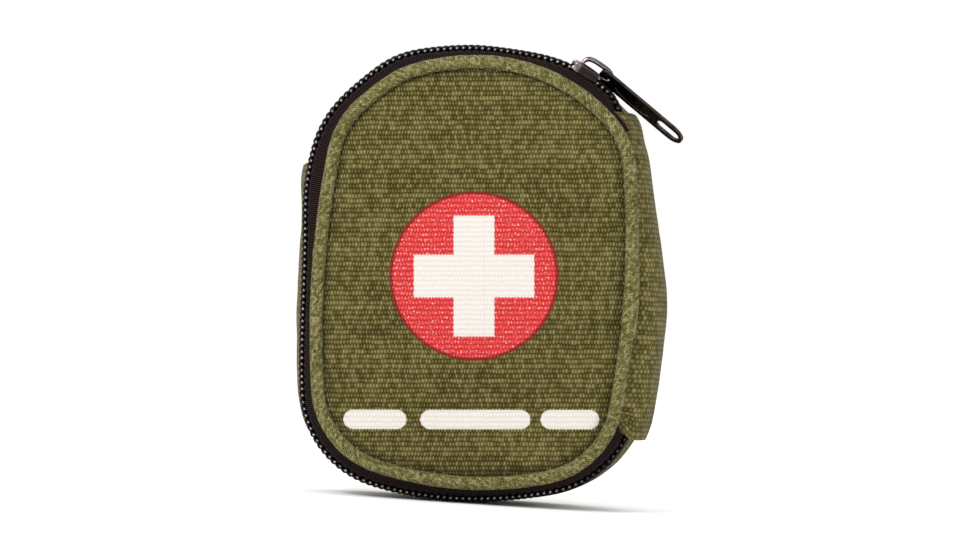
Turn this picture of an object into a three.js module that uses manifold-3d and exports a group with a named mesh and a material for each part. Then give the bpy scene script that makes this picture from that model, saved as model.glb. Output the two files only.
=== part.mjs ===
// A pocket first aid pouch of canvas that zips open on three sides, with its dressings inside.
// Millimetres, +Z up. The pouch stands on its bottom seam at Z = 0 and its front faces -Y.
// The origin is the middle of the flat patch that it stands on.
import * as THREE from "three";
import { mergeVertices } from "three/addons/utils/BufferGeometryUtils.js";
import Module from "manifold-3d";

const wasm = await Module();
wasm.setup();

// ---------------------------------------------------------------- driving dimensions

// The outline is the outer edge of the piping round the front and back panels.
const TOP = 111.8;
const BOTTOM = 3.5;
const CROWN_RADIUS = 46;
const CROWN_HALF_ANGLE = 44;
const SHOULDER_RADIUS = 22.4;
const SIDE_RADIUS = 235;
const CORNER_RADIUS = 23;
const BASE_RADIUS = 85;
const BASE_HALF_ANGLE = 15;

// Depth, front to back, over the two flat panels.
const FRONT = -22;
const BACK = 22;
const PANEL_THICKNESS = 1.4;
const BAND_THICKNESS = 1.4;
const LINING_THICKNESS = 0.6;
const PIPING_RADIUS = 1.75;
const SEWN_GAP = 0.3;

// The zip runs round the pouch just behind the front panel.
const ZIP_Y = -12;
const TAPE_OUT = 1.5;
const TAPE_THICKNESS = 0.6;
const SEAM_OUT = 2.9;
const COIL_INNER = 0.55;
const COIL_OUTER = 3;
const COIL_LOW = 1.85;
const COIL_TOP = 3.15;

// The fabric strip on the right side that joins cover and tray, and the line it folds on.
const STRIP_LOW = 18.4;
const STRIP_HIGH = 99.8;
const STRIP_MARGIN = 0.4;
const FOLD_X = 48;

// The slider, on the crown of the zip, and how far from the top it is parked.
const SLIDER_ANGLE = 29;
const SLIDER_LENGTH = 8.8;
const PLATE_THICKNESS = 1.1;
const SLIDER_CLEARANCE = 0.45;
const FLANGE_THICKNESS = 0.95;
const BAIL_BAR = 0.8;
const BAIL_HEIGHT = 3.1;
const BAIL_WIDTH = 1.4;
const PIVOT_ALONG = 4.72;
const PIVOT_HEIGHT = 1.2;

const TAB_LENGTH = 26;
const TAB_WIDTH = 5;
const TAB_THICKNESS = 0.8;
const TAB_DROOP = 8.8;
const TAB_ROLL = 30;

// The print sits a little crooked on the front panel.
const PRINT_HEIGHT = 57;
const PRINT_TILT = 3.7;
const PRINT_THICKNESS = 0.25;
const DISC_RADIUS = 21.3;
const CROSS_LENGTH = 30;
const CROSS_ARM = 10.7;
const BAR_DROP = 35.6;
const BAR_HEIGHT = 5;
const BARS = [
  { middle: -24.7, width: 16 },
  { middle: 0.3, width: 27.6 },
  { middle: 24.4, width: 16 },
];

// ---------------------------------------------------------------- materials

const fabric = (color) => new THREE.MeshStandardMaterial({ color, roughness: 0.92, metalness: 0 });
const canvas = fabric(0x696036);
const pipingCloth = fabric(0x746d42);
const bindingCloth = fabric(0x4f4a2a);
const liningCloth = fabric(0x555033);
const webbing = fabric(0x62592f);
const zipCloth = fabric(0x241b19);
const elastic = fabric(0x1c1a1a);
const gauze = fabric(0xe9e4d6);
const paper = fabric(0xe6e6e1);
const coilNylon = new THREE.MeshStandardMaterial({ color: 0x1d1716, roughness: 0.3, metalness: 0 });
const redPrint = new THREE.MeshStandardMaterial({ color: 0xd0322f, roughness: 0.5, metalness: 0 });
const whitePrint = new THREE.MeshStandardMaterial({ color: 0xf6f1ec, roughness: 0.5, metalness: 0 });
const blackMetal = new THREE.MeshStandardMaterial({ color: 0x2b2224, roughness: 0.35, metalness: 0.6 });
const spoolPlastic = new THREE.MeshStandardMaterial({ color: 0xf2f2ee, roughness: 0.4, metalness: 0 });

// ---------------------------------------------------------------- the outline

const radians = THREE.MathUtils.degToRad;

function towards(centre, degrees, distance) {
  const a = radians(degrees);
  return [centre[0] + distance * Math.cos(a), centre[1] + distance * Math.sin(a)];
}

// The right half is five arcs that touch: base, corner, side, shoulder and crown.
const crownCentre = [0, TOP - CROWN_RADIUS];
const baseCentre = [0, BOTTOM + BASE_RADIUS];
const shoulderCentre = towards(crownCentre, 90 - CROWN_HALF_ANGLE, CROWN_RADIUS - SHOULDER_RADIUS);
const cornerCentre = towards(baseCentre, BASE_HALF_ANGLE - 90, BASE_RADIUS - CORNER_RADIUS);

// The side arc's centre, from which the shoulder and the corner circles touch it inside.
function findSideCentre() {
  const fromShoulder = SIDE_RADIUS - SHOULDER_RADIUS;
  const fromCorner = SIDE_RADIUS - CORNER_RADIUS;
  const dx = cornerCentre[0] - shoulderCentre[0];
  const dz = cornerCentre[1] - shoulderCentre[1];
  const apart = Math.hypot(dx, dz);
  const along = (fromShoulder ** 2 - fromCorner ** 2 + apart ** 2) / (2 * apart);
  const across = Math.sqrt(fromShoulder ** 2 - along ** 2);
  return [
    shoulderCentre[0] + (along * dx + across * dz) / apart,
    shoulderCentre[1] + (along * dz - across * dx) / apart,
  ];
}

const sideCentre = findSideCentre();

function angleFrom(centre, point) {
  return THREE.MathUtils.radToDeg(Math.atan2(point[1] - centre[1], point[0] - centre[0]));
}

const ARCS = [
  { centre: baseCentre, radius: BASE_RADIUS, to: BASE_HALF_ANGLE - 90, steps: 6 },
  { centre: cornerCentre, radius: CORNER_RADIUS, to: angleFrom(sideCentre, cornerCentre), steps: 6 },
  { centre: sideCentre, radius: SIDE_RADIUS, to: angleFrom(sideCentre, shoulderCentre), steps: 4 },
  { centre: shoulderCentre, radius: SHOULDER_RADIUS, to: 90 - CROWN_HALF_ANGLE, steps: 4 },
  { centre: crownCentre, radius: CROWN_RADIUS, to: 90, steps: 9 },
];

// The point of the outline whose outward normal has this angle, moved outwards by out.
function outlinePoint(degrees, out) {
  const a = THREE.MathUtils.euclideanModulo(degrees + 90, 360) - 90;
  const mirrored = a > 90;
  const angle = mirrored ? 180 - a : a;
  const arc = ARCS.find((x) => angle <= x.to + 1e-9);
  const [x, z] = towards(arc.centre, angle, arc.radius + out);
  return [mirrored ? -x : x, z];
}

// Normal angles round the whole outline, from the bottom up the right side and down the left.
function outlineAngles() {
  const half = [-90];
  for (const arc of ARCS) {
    const from = half[half.length - 1];
    for (let i = 1; i <= arc.steps; i++) half.push(from + ((arc.to - from) * i) / arc.steps);
  }
  const other = half.slice(1, -1).reverse();
  return [...half, ...other.map((a) => 180 - a)];
}

const ALL_ANGLES = outlineAngles();

// The outline's angles from one to another, both ends included.
function anglesBetween(from, to) {
  const turns = [...ALL_ANGLES, ...ALL_ANGLES.map((a) => a + 360)];
  return [from, ...turns.filter((a) => a > from + 0.5 && a < to - 0.5), to];
}

// ---------------------------------------------------------------- building blocks

function meshOf(name, geometry, material) {
  const mesh = new THREE.Mesh(geometry, material);
  mesh.name = name;
  return mesh;
}

// Sweeps a section round the outline. A section point is [out, y], counterclockwise when
// out points right and y points up. Nothing goes below floor.
function sweep(angles, sectionAt, { closed = false, floor = -Infinity } = {}) {
  const positions = [];
  const index = [];
  const sections = angles.map(sectionAt);
  const n = sections[0].length;
  sections.forEach((section, i) => {
    for (const [out, y] of section) {
      const [x, z] = outlinePoint(angles[i], out);
      positions.push(x, y, Math.max(z, floor));
    }
  });
  const rings = closed ? angles.length : angles.length - 1;
  for (let i = 0; i < rings; i++) {
    const here = i * n;
    const next = ((i + 1) % angles.length) * n;
    for (let j = 0; j < n; j++) {
      const k = (j + 1) % n;
      index.push(here + j, here + k, next + k, here + j, next + k, next + j);
    }
  }
  if (!closed) {
    const last = (angles.length - 1) * n;
    const contour = (section) => section.map(([out, y]) => new THREE.Vector2(out, y));
    for (const [a, b, c] of THREE.ShapeUtils.triangulateShape(contour(sections[0]), [])) {
      index.push(c, b, a);
    }
    for (const [a, b, c] of THREE.ShapeUtils.triangulateShape(contour(sections.at(-1)), [])) {
      index.push(last + a, last + b, last + c);
    }
  }
  const geometry = new THREE.BufferGeometry();
  geometry.setAttribute("position", new THREE.Float32BufferAttribute(positions, 3));
  geometry.setIndex(index);
  return geometry;
}

// The section of a cloth strip of this thickness along a line of [out, y] points, front to back.
function strip(line, thickness) {
  const side = (sign) =>
    line.map(([out, y], i) => {
      const before = line[Math.max(i - 1, 0)];
      const after = line[Math.min(i + 1, line.length - 1)];
      const along = [after[0] - before[0], after[1] - before[1]];
      const half = (sign * thickness) / 2 / Math.hypot(...along);
      return [out + half * along[1], y - half * along[0]];
    });
  return [...side(1), ...side(-1).reverse()];
}

function roundSection(out, y, radius, sides) {
  return Array.from({ length: sides }, (_, i) => {
    const a = ((i + 0.5) / sides) * 2 * Math.PI;
    return [out + radius * Math.cos(a), y + radius * Math.sin(a)];
  });
}

function rectangleSection(out0, out1, y0, y1) {
  return [
    [out0, y0],
    [out1, y0],
    [out1, y1],
    [out0, y1],
  ];
}

// An upright plate with the outline moved outwards by out, its front face at y.
function outlinePlate(out, y, thickness) {
  return uprightPlate(new THREE.Shape(ALL_ANGLES.map((a) => new THREE.Vector2(...outlinePoint(a, out)))), y, thickness);
}

// A shape drawn in X and Z, made into a plate whose front face is at y.
function uprightPlate(shape, y, thickness) {
  const geometry = new THREE.ExtrudeGeometry(shape, { depth: thickness, bevelEnabled: false, curveSegments: 10 });
  return geometry.rotateX(Math.PI / 2).translate(0, y + thickness, 0);
}

function boxGeometry(x0, x1, y0, y1, z0, z1) {
  const geometry = new THREE.BoxGeometry(x1 - x0, y1 - y0, z1 - z0);
  return geometry.translate((x0 + x1) / 2, (y0 + y1) / 2, (z0 + z1) / 2);
}

function solidOf(geometry) {
  const bare = geometry.clone();
  bare.deleteAttribute("normal");
  bare.deleteAttribute("uv");
  const merged = mergeVertices(bare, 1e-4);
  return new wasm.Manifold(
    new wasm.Mesh({
      numProp: 3,
      vertProperties: merged.attributes.position.array,
      triVerts: new Uint32Array(merged.index.array),
    }),
  );
}

function geometryOf(solid) {
  const mesh = solid.getMesh();
  const geometry = new THREE.BufferGeometry();
  geometry.setAttribute("position", new THREE.BufferAttribute(new Float32Array(mesh.vertProperties), 3));
  geometry.setIndex(new THREE.BufferAttribute(new Uint32Array(mesh.triVerts), 1));
  return geometry;
}

function unionOf(geometries) {
  return geometryOf(geometries.map(solidOf).reduce((a, b) => a.add(b)));
}

function subtract(geometry, ...cutters) {
  return geometryOf(cutters.map(solidOf).reduce((a, b) => a.subtract(b), solidOf(geometry)));
}

function intersect(a, b) {
  return geometryOf(solidOf(a).intersect(solidOf(b)));
}

// The block of space that the right-hand strip takes, and the zip and band leave free.
const stripBlock = (margin) =>
  boxGeometry(18, 70, FRONT * 2, BACK * 2, STRIP_LOW - margin, STRIP_HIGH + margin);

// ---------------------------------------------------------------- shell of the pouch

const ROUND_ZIP = anglesBetween(30, 352);
const ROUND_STRIP = anglesBetween(-40, 52);

function piping(name, y) {
  const section = roundSection(-PIPING_RADIUS, y, PIPING_RADIUS, 8);
  return meshOf(name, sweep(ALL_ANGLES, () => section, { closed: true }), pipingCloth);
}

function binding(name, y0, y1) {
  const section = rectangleSection(-4.4, -2, y0, y1);
  return meshOf(name, sweep(ALL_ANGLES, () => section, { closed: true }), bindingCloth);
}

function panel(name, y, material) {
  return meshOf(name, outlinePlate(-2 * PIPING_RADIUS - SEWN_GAP, y, PANEL_THICKNESS), material);
}

function lining(name, y) {
  return meshOf(name, outlinePlate(-2 * PIPING_RADIUS - 1.2, y, LINING_THICKNESS), liningCloth);
}

// The canvas band behind the zip bulges most at the sides, a little at the foot, least on top.
function bellyOut(degrees) {
  const sideways = Math.cos(radians(degrees)) ** 4;
  const resting = Math.sin(radians(degrees)) > 0 ? 2.7 : 3.8;
  return resting + (5.8 - resting) * sideways;
}

function sideBand() {
  const sectionAt = (degrees) => {
    const belly = bellyOut(degrees);
    const line = [
      [SEAM_OUT, ZIP_Y + 5.3],
      [0.4 * SEAM_OUT + 0.6 * belly, -1],
      [belly, 7],
      [0.75 * belly, 14],
      [-1, 18.5],
    ];
    return strip(line, BAND_THICKNESS);
  };
  const band = sweep(ROUND_ZIP, sectionAt, { floor: 0 });
  return meshOf("side_band", subtract(band, stripBlock(STRIP_MARGIN)), canvas);
}

function zipTape(name, line) {
  const tape = sweep(ROUND_ZIP, () => strip(line, TAPE_THICKNESS));
  return meshOf(name, subtract(tape, stripBlock(STRIP_MARGIN)), zipCloth);
}

function zipCoil(name, angles, side) {
  const low = [ZIP_Y + side * COIL_INNER, ZIP_Y + side * COIL_OUTER].sort((a, b) => a - b);
  const bevel = 0.5;
  const section = [
    [COIL_LOW, low[0]],
    [COIL_TOP - bevel, low[0]],
    [COIL_TOP, low[0] + bevel],
    [COIL_TOP, low[1] - bevel],
    [COIL_TOP - bevel, low[1]],
    [COIL_LOW, low[1]],
  ];
  const coil = sweep(angles, () => section);
  return meshOf(name, subtract(coil, stripBlock(STRIP_MARGIN)), coilNylon);
}

// The strip on the right hangs loose: it stands out more towards its lower end.
function looseness(height) {
  const t = Math.min(Math.max((height - 48) / 42, 0), 1);
  return 1.35 - 0.75 * t * t * (3 - 2 * t);
}

function foldStrip(name, line) {
  const sectionAt = (degrees) => {
    const by = looseness(outlinePoint(degrees, 0)[1]);
    return strip(line.map(([out, y]) => [out > 0 ? out * by : out, y]), BAND_THICKNESS);
  };
  const whole = sweep(ROUND_STRIP, sectionAt);
  return meshOf(name, intersect(whole, stripBlock(0)), canvas);
}

// The webbing that a belt goes through: sewn flat at both ends and bowed off the back panel.
function beltLoop() {
  const lower = 22;
  const upper = 92;
  const sewn = 7;
  const slope = 6;
  const thickness = 1.5;
  const bow = 5.6;
  const inner = [
    [BACK, lower],
    [BACK, lower + sewn],
    [BACK + bow, lower + sewn + slope],
    [BACK + bow, upper - sewn - slope],
    [BACK, upper - sewn],
    [BACK, upper],
  ];
  const outer = inner.map(([y, z]) => [y + thickness, z]).reverse();
  const shape = new THREE.Shape([...inner, ...outer].map(([y, z]) => new THREE.Vector2(y, z)));
  const width = 40;
  const geometry = new THREE.ExtrudeGeometry(shape, { depth: width, bevelEnabled: false });
  // The shape's X and Y become Y and Z, and its depth becomes X.
  geometry.applyMatrix4(new THREE.Matrix4().set(0, 0, 1, -width / 2, 1, 0, 0, SEWN_GAP, 0, 1, 0, 0, 0, 0, 0, 1));
  return meshOf("belt_loop", geometry, webbing);
}

function beltLoopTack(name, z) {
  const y = BACK + SEWN_GAP + 1.5 + 0.05;
  return meshOf(name, boxGeometry(-17, 17, y, y + 0.5, z - 1.5, z + 1.5), zipCloth);
}

// ---------------------------------------------------------------- print on the front

function crossPath(PathClass) {
  const a = CROSS_ARM / 2;
  const b = CROSS_LENGTH / 2;
  const corners = [
    [a, a],
    [a, b],
    [-a, b],
    [-a, a],
    [-b, a],
    [-b, -a],
    [-a, -a],
    [-a, -b],
    [a, -b],
    [a, -a],
    [b, -a],
    [b, a],
  ];
  return new PathClass(corners.map(([x, z]) => new THREE.Vector2(x, z)));
}

function barShape(middle, width, height) {
  const r = height / 2;
  const reach = width / 2 - r;
  const shape = new THREE.Shape();
  shape.absarc(middle + reach, 0, r, -Math.PI / 2, Math.PI / 2, false);
  shape.absarc(middle - reach, 0, r, Math.PI / 2, (3 * Math.PI) / 2, false);
  return shape;
}

function frontPrint() {
  const print = new THREE.Group();
  print.position.set(0, FRONT - 0.05 - PRINT_THICKNESS, PRINT_HEIGHT);
  print.rotation.y = -radians(PRINT_TILT);
  const disc = new THREE.Shape().absarc(0, 0, DISC_RADIUS, 0, 2 * Math.PI, false);
  disc.holes.push(crossPath(THREE.Path));
  print.add(meshOf("printed_disc", uprightPlate(disc, 0, PRINT_THICKNESS), redPrint));
  const cross = uprightPlate(crossPath(THREE.Shape), 0, PRINT_THICKNESS).scale(0.99, 1, 0.99);
  print.add(meshOf("printed_cross", cross, whitePrint));
  BARS.forEach(({ middle, width }, i) => {
    const bar = uprightPlate(barShape(middle, width, BAR_HEIGHT), 0, PRINT_THICKNESS);
    print.add(meshOf(`printed_bar_${i + 1}`, bar.translate(0, 0, -BAR_DROP), whitePrint));
  });
  return print;
}

// ---------------------------------------------------------------- slider and pull tab

// Both are built at the top of the crown, X along the zip towards its end stop and Z outwards,
// with Z = 0 on the crown's centre, and then turned to where the slider is parked.
const onCrown = (out) => CROWN_RADIUS + out;

// A plate that is broad at the nose, where the two rows part, and narrow at the tail.
function sliderPlate(halfNose, halfTail, out, thickness) {
  const half = SLIDER_LENGTH / 2;
  const corner = 1.2;
  const shape = new THREE.Shape();
  shape.moveTo(-half, -halfTail + corner);
  shape.quadraticCurveTo(-half, -halfTail, -half + corner, -halfTail);
  shape.lineTo(half - corner, -halfNose);
  shape.quadraticCurveTo(half, -halfNose, half, -halfNose + corner);
  shape.lineTo(half, halfNose - corner);
  shape.quadraticCurveTo(half, halfNose, half - corner, halfNose);
  shape.lineTo(-half + corner, halfTail);
  shape.quadraticCurveTo(-half, halfTail, -half, halfTail - corner);
  const geometry = new THREE.ExtrudeGeometry(shape, { depth: thickness, bevelEnabled: false, curveSegments: 3 });
  return geometry.translate(0, ZIP_Y, onCrown(out));
}

function sliderBody() {
  const inside = COIL_OUTER + SLIDER_CLEARANCE;
  const outside = inside + FLANGE_THICKNESS;
  const plateLow = COIL_TOP + SLIDER_CLEARANCE;
  const underside = TAPE_OUT - TAPE_THICKNESS / 2 - SLIDER_CLEARANCE - PLATE_THICKNESS;
  const flangeLow = TAPE_OUT + TAPE_THICKNESS / 2 + SLIDER_CLEARANCE;
  const half = SLIDER_LENGTH / 2;
  const flange = (side) => {
    const y = [ZIP_Y + side * inside, ZIP_Y + side * outside].sort((a, b) => a - b);
    return boxGeometry(-half + 1.2, half - 1.2, y[0], y[1], onCrown(flangeLow), onCrown(plateLow + 0.3));
  };
  const postWidth = 0.35;
  const post = boxGeometry(
    half - 2.8,
    half - 0.6,
    ZIP_Y - postWidth,
    ZIP_Y + postWidth,
    onCrown(underside + 0.4),
    onCrown(plateLow + 0.4),
  );
  return unionOf([
    sliderPlate(outside + 0.35, outside, plateLow, PLATE_THICKNESS),
    sliderPlate(outside, outside - 0.5, underside, PLATE_THICKNESS),
    flange(-1),
    flange(1),
    post,
  ]);
}

const PLATE_TOP = COIL_TOP + SLIDER_CLEARANCE + PLATE_THICKNESS;

// The low arch that holds the pull tab. It leans out over the nose of the slider.
function sliderBail() {
  const arch = (inset) => {
    const path = new THREE.Shape();
    path.moveTo(-2.3 + inset, 0);
    path.lineTo(-2.3 + inset, 1.1);
    path.quadraticCurveTo(-2.3 + inset, BAIL_HEIGHT - inset, -0.4, BAIL_HEIGHT - inset);
    path.lineTo(3.2, BAIL_HEIGHT - inset);
    path.quadraticCurveTo(5.6, BAIL_HEIGHT - inset, 6.6 - inset, 1.1);
    path.quadraticCurveTo(6.4 - inset, 0, 5.2 - inset, 0);
    return path;
  };
  const solid = (shape, depth) =>
    new THREE.ExtrudeGeometry(shape, { depth, bevelEnabled: false, curveSegments: 4 }).translate(0, 0, -depth / 2);
  const outer = solid(arch(0), BAIL_WIDTH);
  const inner = solid(arch(BAIL_BAR), 2 * BAIL_WIDTH);
  const geometry = subtract(outer, inner, inner.clone().translate(0, -0.5, 0));
  return geometry.rotateX(Math.PI / 2).translate(0, ZIP_Y, onCrown(PLATE_TOP + 0.05));
}

// The tab lies along +X from its pivot, with an eye for the bail and a slot at its far end.
function pullTab() {
  const endBar = 0.3;
  const eyeLength = 5.2;
  const eyeHalf = 1.6;
  const slotHalf = 1.6;
  const slotLength = 7.6;
  const rim = 0.9;
  const wide = TAB_WIDTH / 2;
  const tip = TAB_LENGTH - endBar;
  const shape = new THREE.Shape();
  shape.moveTo(-endBar, -wide + 1.3);
  shape.quadraticCurveTo(-endBar, -wide, 1.2, -wide);
  shape.lineTo(tip - 4, -wide);
  shape.bezierCurveTo(tip - 1.5, -wide, tip, -wide * 0.55, tip, 0);
  shape.bezierCurveTo(tip, wide * 0.55, tip - 1.5, wide, tip - 4, wide);
  shape.lineTo(1.2, wide);
  shape.quadraticCurveTo(-endBar, wide, -endBar, wide - 1.3);
  const eye = new THREE.Path([
    new THREE.Vector2(endBar, -eyeHalf),
    new THREE.Vector2(eyeLength, -eyeHalf),
    new THREE.Vector2(eyeLength, eyeHalf),
    new THREE.Vector2(endBar, eyeHalf),
  ]);
  const slotEnd = tip - rim - slotHalf;
  const slot = new THREE.Path();
  slot.absarc(slotEnd, 0, slotHalf, -Math.PI / 2, Math.PI / 2, false);
  slot.absarc(slotEnd - slotLength + 2 * slotHalf, 0, slotHalf, Math.PI / 2, (3 * Math.PI) / 2, false);
  shape.holes.push(eye, slot);
  const options = { depth: TAB_THICKNESS, bevelEnabled: false, curveSegments: 5 };
  return new THREE.ExtrudeGeometry(shape, options).translate(0, 0, -TAB_THICKNESS / 2);
}

const TAB_PIVOT = new THREE.Vector3(PIVOT_ALONG, ZIP_Y, onCrown(PLATE_TOP + PIVOT_HEIGHT));

function slider() {
  const group = new THREE.Group();
  group.position.set(crownCentre[0], 0, crownCentre[1]);
  group.rotation.y = radians(SLIDER_ANGLE);
  group.add(meshOf("slider_body", sliderBody(), blackMetal));
  group.add(meshOf("slider_bail", sliderBail(), blackMetal));
  const tab = meshOf("pull_tab", pullTab(), blackMetal);
  tab.position.copy(TAB_PIVOT);
  tab.rotation.set(-radians(TAB_ROLL), radians(TAB_DROOP), 0, "YXZ");
  group.add(tab);
  return group;
}

// ---------------------------------------------------------------- inside the pouch

const POCKET_TOP = 66;
const POCKET_Y = 12.4;
const ROLL_RADIUS = 9.6;
const ROLL_Y = 1.6;
const ROLL_LOW = 12;
const ROLL_HEIGHT = 48;
const SACHET_Y = POCKET_Y + LINING_THICKNESS + 0.3;

// A slip pocket across the lower back of the tray. Its outline follows the seam.
function innerPocket() {
  const whole = outlinePlate(-5, POCKET_Y, LINING_THICKNESS);
  return meshOf("inner_pocket", intersect(whole, boxGeometry(-60, 60, 0, 30, 0, POCKET_TOP)), liningCloth);
}

function pocketHem() {
  const hem = intersect(
    outlinePlate(-5, POCKET_Y - 0.9, 0.8),
    boxGeometry(-60, 60, 0, 30, POCKET_TOP - 5, POCKET_TOP),
  );
  return meshOf("pocket_hem", hem, elastic);
}

// A roll that stands upright, built by turning its profile round its own axis.
function roll(name, x, z, height, radius, material, hole = 0) {
  const edge = 0.8;
  const profile = [
    [hole, 0],
    [radius - edge, 0],
    [radius, edge],
    [radius, height - edge],
    [radius - edge, height],
    [hole, height],
  ];
  if (hole) profile.push([hole, 0]);
  const geometry = new THREE.LatheGeometry(profile.map(([r, h]) => new THREE.Vector2(r, h)), 24);
  return meshOf(name, geometry.rotateX(Math.PI / 2).translate(x, ROLL_Y, z), material);
}

// The elastic that holds the three rolls against the pocket, sewn to the band at both sides.
function elasticBand() {
  const thickness = 0.8;
  const front = ROLL_Y - ROLL_RADIUS - 0.4;
  const line = [
    [-37.6, 8.5],
    [-33.5, 0.5],
    [-27, front + 0.3],
    [-20, front],
    [20, front],
    [27, front + 0.3],
    [33.5, 0.5],
    [37.6, 8.5],
  ];
  const face = line.map(([x, y]) => new THREE.Vector2(x, y));
  const back = line.map(([x, y]) => new THREE.Vector2(x, y - thickness)).reverse();
  const geometry = new THREE.ExtrudeGeometry(new THREE.Shape([...back, ...face]), { depth: 12, bevelEnabled: false });
  return meshOf("elastic_band", geometry.translate(0, 0, 30), elastic);
}

// Flat paper sachets one behind another, each turned a little from the last.
function sachets(group, { name, count, x, z, width, height, thickness, fan, material }) {
  for (let i = 0; i < count; i++) {
    const sachet = meshOf(`${name}_${i + 1}`, new THREE.BoxGeometry(width, thickness, height), material);
    sachet.position.set(x, SACHET_Y + (i + 0.5) * (thickness + 0.3), z);
    sachet.rotation.y = radians(fan * (i - (count - 1) / 2));
    group.add(sachet);
  }
}

function contents() {
  const group = new THREE.Group();
  group.add(innerPocket(), pocketHem(), elasticBand());
  group.add(roll("gauze_roll", -20.5, ROLL_LOW, ROLL_HEIGHT, ROLL_RADIUS, gauze));
  group.add(roll("crepe_bandage", 0, ROLL_LOW, ROLL_HEIGHT, ROLL_RADIUS, gauze));
  const tapeHeight = 23.5;
  for (const [i, z] of [ROLL_LOW, ROLL_LOW + tapeHeight + 1].entries()) {
    group.add(roll(`tape_roll_${i + 1}`, 20.5, z, tapeHeight, ROLL_RADIUS, gauze, 5.8));
    group.add(roll(`tape_core_${i + 1}`, 20.5, z, tapeHeight, 5.5, spoolPlastic, 4.4));
  }
  sachets(group, {
    name: "gauze_pad",
    count: 3,
    x: 0,
    z: 36.3,
    width: 52,
    height: 41,
    thickness: 1.5,
    fan: 0,
    material: paper,
  });
  sachets(group, {
    name: "antiseptic_wipe",
    count: 3,
    x: -13.5,
    z: 78,
    width: 24,
    height: 40,
    thickness: 1.3,
    fan: 2,
    material: paper,
  });
  sachets(group, {
    name: "adhesive_plaster",
    count: 4,
    x: 13.5,
    z: 78,
    width: 20,
    height: 40,
    thickness: 0.9,
    fan: 2,
    material: paper,
  });
  return group;
}

// ---------------------------------------------------------------- the whole kit

function cover() {
  const group = new THREE.Group();
  group.add(panel("front_panel", FRONT, canvas));
  group.add(piping("front_piping", FRONT + 1));
  group.add(binding("front_binding", FRONT + 2.7, FRONT + 4.4));
  group.add(lining("front_lining", FRONT + PANEL_THICKNESS + SEWN_GAP));
  group.add(
    zipTape("zip_tape_front", [
      [-1.2, FRONT + 3.1],
      [TAPE_OUT, ZIP_Y - 4.9],
      [TAPE_OUT, ZIP_Y - COIL_INNER],
    ]),
  );
  // This row stops where the slider is parked, because the cover leaves the slider behind.
  const past = 90 - SLIDER_ANGLE + 6.6;
  group.add(zipCoil("zip_coil_front", [past, ...ROUND_ZIP.filter((a) => a > past + 0.5)], -1));
  group.add(
    foldStrip("fold_strip_front", [
      [-1, FRONT + 3.4],
      [2.4, FRONT + 5],
      [4.3, ZIP_Y - 2],
      [4.7, ZIP_Y - 0.35],
    ]),
  );
  group.add(frontPrint());
  return group;
}

function tray() {
  const group = new THREE.Group();
  group.add(panel("back_panel", BACK - PANEL_THICKNESS, canvas));
  group.add(piping("rear_piping", BACK - 1));
  group.add(binding("rear_binding", BACK - 4.4, BACK - 2.7));
  group.add(lining("back_lining", BACK - PANEL_THICKNESS - LINING_THICKNESS - SEWN_GAP));
  group.add(sideBand());
  group.add(
    zipTape("zip_tape_rear", [
      [TAPE_OUT, ZIP_Y + COIL_INNER],
      [TAPE_OUT, ZIP_Y + 8],
    ]),
  );
  group.add(zipCoil("zip_coil_rear", ROUND_ZIP, 1));
  group.add(
    foldStrip("fold_strip_rear", [
      [4.8, ZIP_Y + 0.35],
      [5.5, -4],
      [5.2, 5],
      [3.6, 13],
      [-1, 18.5],
    ]),
  );
  group.add(beltLoop(), beltLoopTack("belt_loop_tack_low", 25.5), beltLoopTack("belt_loop_tack_high", 88.5));
  group.add(contents());
  return group;
}

// Where the moving parts turn, for the record: each has a point on its axis and a range in degrees.
const parkedSlider = new THREE.Matrix4()
  .makeTranslation(crownCentre[0], 0, crownCentre[1])
  .multiply(new THREE.Matrix4().makeRotationY(radians(SLIDER_ANGLE)));

const kit = new THREE.Group();
kit.add(cover(), tray(), slider());
kit.userData = {
  foldLine: { x: FOLD_X, y: ZIP_Y },
  crownCentre,
  pivot: TAB_PIVOT.clone().applyMatrix4(parkedSlider).toArray(),
  range: { cover: 180, slider: 66, tab: 120 },
};
export default kit;
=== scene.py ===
"""The looks of a canvas first aid pouch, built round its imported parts. Lengths are in millimetres."""

import math

import bpy
import numpy as np
from mathutils import Matrix, Vector


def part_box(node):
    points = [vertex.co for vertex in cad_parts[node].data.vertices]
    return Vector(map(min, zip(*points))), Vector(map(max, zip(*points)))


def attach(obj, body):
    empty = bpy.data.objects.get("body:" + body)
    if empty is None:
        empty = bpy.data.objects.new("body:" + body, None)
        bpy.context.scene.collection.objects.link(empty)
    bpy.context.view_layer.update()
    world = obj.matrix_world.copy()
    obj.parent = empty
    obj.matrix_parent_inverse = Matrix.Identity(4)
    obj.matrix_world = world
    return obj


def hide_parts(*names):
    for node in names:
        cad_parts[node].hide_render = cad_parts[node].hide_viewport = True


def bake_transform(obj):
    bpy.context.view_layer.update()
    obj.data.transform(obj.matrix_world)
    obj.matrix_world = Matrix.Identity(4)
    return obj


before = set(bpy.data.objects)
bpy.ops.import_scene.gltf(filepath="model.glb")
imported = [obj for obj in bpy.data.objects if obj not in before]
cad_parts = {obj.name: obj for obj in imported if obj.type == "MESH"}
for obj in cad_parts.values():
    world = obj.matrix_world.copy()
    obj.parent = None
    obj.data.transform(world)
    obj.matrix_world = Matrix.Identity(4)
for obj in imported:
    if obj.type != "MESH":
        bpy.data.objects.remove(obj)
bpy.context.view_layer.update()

MM = 0.001
FRONT, BACK, ZIP_Y = -22.0, 22.0, -12.0
PRINT_Z, PRINT_TILT = 56.7, math.radians(3.7)
DISC_RADIUS, BARS_BELOW, BAR_HALF = 21.2, 35.6, 2.5
SLIDER_DEGREES = 29
SLIDER_TURN = math.radians(SLIDER_DEGREES)

# ---- the outline

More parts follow.
